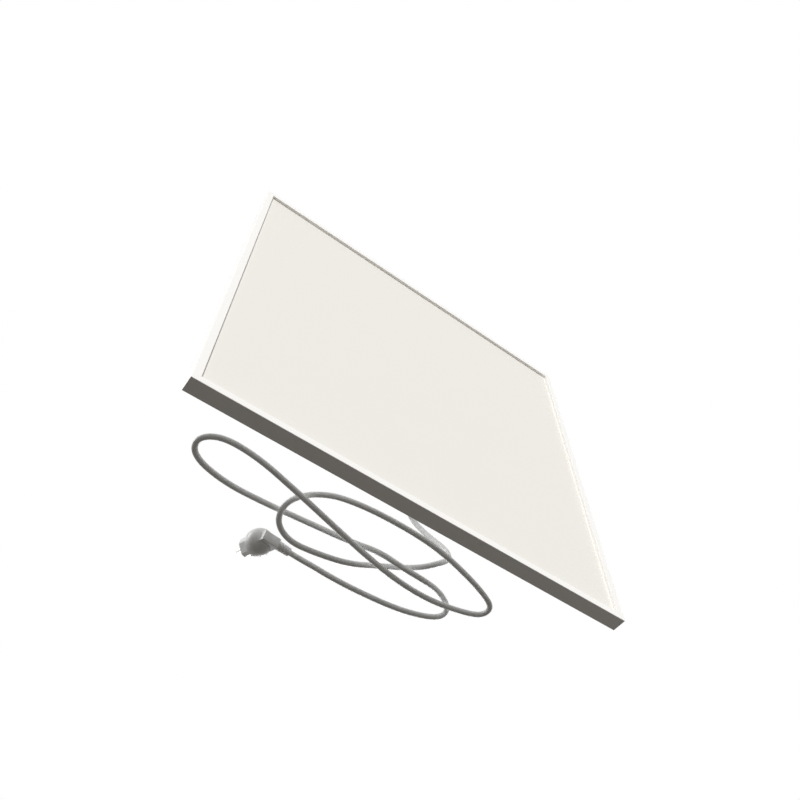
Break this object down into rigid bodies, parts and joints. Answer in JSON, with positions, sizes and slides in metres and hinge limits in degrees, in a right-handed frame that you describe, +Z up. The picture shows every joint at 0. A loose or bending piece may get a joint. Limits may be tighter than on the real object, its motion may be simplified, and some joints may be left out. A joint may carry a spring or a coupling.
{
  "type": "infrared panel heater",
  "caption": "Flat square infrared heating panel with a mitred white frame, a recessed cream radiant face, a rear terminal box and a white mains cord with an angled earthed plug.",
  "frame": {"origin": "on the supporting surface, below the middle of the panel's box with its terminal box, the cord left out", "axes": "+X along the width, to the right seen from the front; -Y out of the radiant face; +Z up"},
  "size_m": [0.6, 0.2049, 0.6],
  "materials": {
    "frame_white": "satin",
    "plate_cream": "matte",
    "cover_white": "satin",
    "key_aluminium": "satin",
    "film_amber": "gloss",
    "track_metal": "satin",
    "foil_bright": "polished",
    "board_fibre": "matte",
    "screw_steel": "satin",
    "contact_brass": "satin",
    "box_white": "satin",
    "block_ivory": "satin",
    "cutout_black": "satin",
    "seal_grey": "matte",
    "cord_white": "satin",
    "plug_white": "satin",
    "pin_nickel": "polished",
    "earth_dark": "matte",
    "wire_brown": "satin",
    "wire_blue": "satin",
    "wire_green": "satin"
  },
  "bodies": {
    "panel": {"frame_bottom": "frame_white", "frame_top": "frame_white", "frame_left": "frame_white", "frame_right": "frame_white", "corner_key_bottom_left": "key_aluminium", "corner_key_bottom_right": "key_aluminium", "corner_key_top_left": "key_aluminium", "corner_key_top_right": "key_aluminium", "radiant_plate": "plate_cream", "film_front": "film_amber", "heating_track": "track_metal", "film_rear": "film_amber", "track_tabs": "contact_brass", "reflector_foil": "foil_bright", "insulation_board": "board_fibre", "rear_cover": "cover_white", "cover_screws": "screw_steel", "mounting_inserts": "screw_steel", "terminal_cover": "box_white", "terminal_seal": "seal_grey", "terminal_cover_screws": "screw_steel", "terminal_block": "block_ivory", "clamp_screws": "contact_brass", "block_screw": "screw_steel", "lead_grommet": "seal_grey", "earth_ring": "contact_brass", "earth_screw": "screw_steel", "earth_nut": "screw_steel", "cutout_case": "cutout_black", "cutout_lid": "cutout_black", "cutout_fixed_contact": "contact_brass", "cutout_tabs": "contact_brass", "live_core": "wire_brown", "neutral_core": "wire_blue", "earth_core": "wire_green", "live_lead": "wire_brown", "neutral_lead": "wire_blue", "cutout_link": "wire_brown", "cord_bushing": "cord_white", "power_cord": "cord_white", "plug_body": "plug_white", "plug_insert": "plug_white", "plug_pins": "pin_nickel", "plug_earth_contacts": "earth_dark", "plug_tail": "plug_white"},
    "cutout_arm": {"cutout_arm": "contact_brass"}
  },
  "joints": [
    {"name": "cutout_opening", "type": "hinge", "parent": "panel", "child": "cutout_arm", "pos_m": [-0.008, -0.00885, 0.14], "axis": [0, 0, 1], "range_deg": [0, 4], "stiffness_Nm_per_rad": 0.0001}
  ]
}
